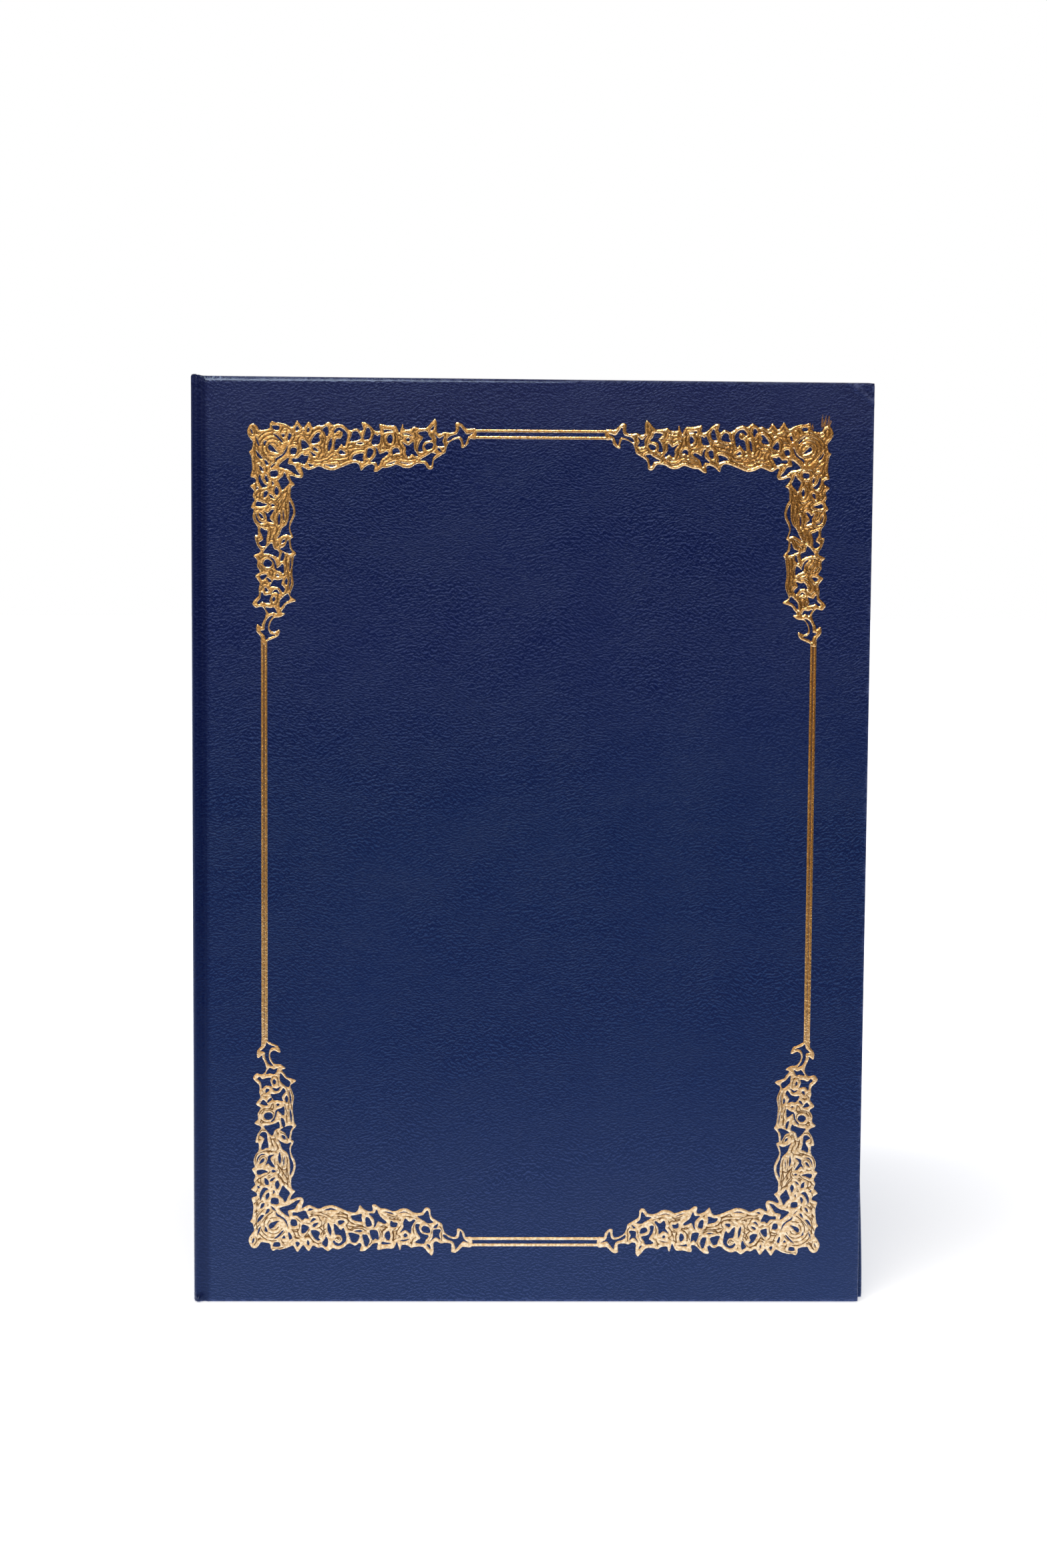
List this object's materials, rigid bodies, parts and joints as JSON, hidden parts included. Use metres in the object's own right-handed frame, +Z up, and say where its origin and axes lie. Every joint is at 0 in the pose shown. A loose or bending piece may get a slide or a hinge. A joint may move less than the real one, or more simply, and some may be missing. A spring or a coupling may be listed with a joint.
{
  "type": "certificate holder",
  "caption": "Flat presentation holder with leatherette-covered boards hinged on a narrow spine, a gold-stamped border on the front and ribbon corners inside to hold a sheet.",
  "frame": {"origin": "middle of the closed holder's foot, on the surface it stands on", "axes": "+Z up along the spine, -Y out of the front cover, -X out of the spine"},
  "size_m": [0.226, 0.0092, 0.312],
  "materials": {
    "leatherette": "fine-grained satin",
    "greyboard": "raw pressed board",
    "lining_card": "matt ivory paper",
    "hinge_cloth": "matt woven cloth",
    "ribbon": "satin weave",
    "gold_foil": "hot-stamped metallic film"
  },
  "bodies": {
    "back_cover": {"back_board": "greyboard", "back_leatherette": "leatherette", "back_lining_panel": "lining_card", "back_hinge_lining": "hinge_cloth", "ribbon_upper_spine": "ribbon", "ribbon_upper_edge": "ribbon", "ribbon_lower_spine": "ribbon", "ribbon_lower_edge": "ribbon"},
    "spine": {"spine_leatherette": "leatherette", "spine_card": "greyboard", "spine_lining": "hinge_cloth"},
    "front_cover": {"front_board": "greyboard", "front_leatherette": "leatherette", "front_lining_panel": "lining_card", "front_hinge_lining": "hinge_cloth", "foil_corner_upper_spine": "gold_foil", "foil_corner_upper_edge": "gold_foil", "foil_corner_lower_spine": "gold_foil", "foil_corner_lower_edge": "gold_foil", "foil_rule_top_outer": "gold_foil", "foil_rule_top_inner": "gold_foil", "foil_rule_foot_inner": "gold_foil", "foil_rule_foot_outer": "gold_foil", "foil_rule_spine_outer": "gold_foil", "foil_rule_spine_inner": "gold_foil", "foil_rule_edge_inner": "gold_foil", "foil_rule_edge_outer": "gold_foil"}
  },
  "joints": [
    {"name": "back_joint", "type": "hinge", "parent": "back_cover", "child": "spine", "pos_m": [-0.11241, 0.00397, 0.156], "axis": [0, 0, -1], "range_deg": [0, 90]},
    {"name": "front_joint", "type": "hinge", "parent": "spine", "child": "front_cover", "pos_m": [-0.11241, -0.00385, 0.156], "axis": [0, 0, -1], "range_deg": [0, 90]}
  ]
}
